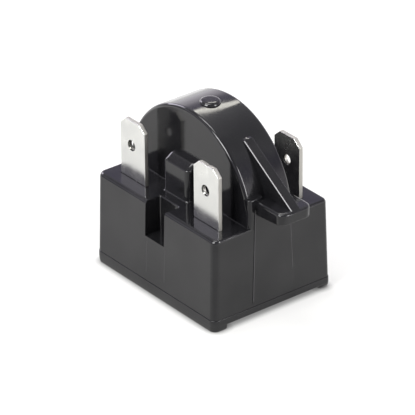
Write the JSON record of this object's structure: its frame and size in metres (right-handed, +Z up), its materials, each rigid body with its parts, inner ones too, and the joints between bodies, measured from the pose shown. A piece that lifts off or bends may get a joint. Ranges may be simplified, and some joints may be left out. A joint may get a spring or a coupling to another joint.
{
  "type": "compressor start relay",
  "caption": "Plug-on thermistor start relay for a refrigeration compressor: moulded box with a half-round dome, flat tabs, an ear and a bottom cover with pin sockets.",
  "frame": {"origin": "on the floor plane under the middle of the whole outline, ear included", "axes": "+X along the housing towards the ear, +Y from the front face with the notch to the back, +Z up from the bottom cover to the dome"},
  "size_m": [0.037, 0.024, 0.0316],
  "materials": {
    "housing_plastic": "glossy black moulded plastic",
    "cover_plastic": "glossy black moulded plastic",
    "tab_metal": "tinned brass, satin bright",
    "socket_metal": "tinned brass",
    "spring_steel": "stainless spring steel",
    "rivet_brass": "bare brass",
    "ceramic": "silvered grey ceramic"
  },
  "bodies": {
    "root": {"housing": "housing_plastic", "bottom_cover": "cover_plastic", "run_terminal": "tab_metal", "start_terminal": "tab_metal", "run_pin_socket": "socket_metal", "start_pin_socket": "socket_metal", "run_socket_band": "spring_steel", "start_socket_band": "spring_steel", "front_contact_spring": "spring_steel", "rear_contact_spring": "spring_steel", "run_rivet": "rivet_brass", "start_rivet": "rivet_brass", "thermistor_disc": "ceramic"}
  },
  "joints": []
}
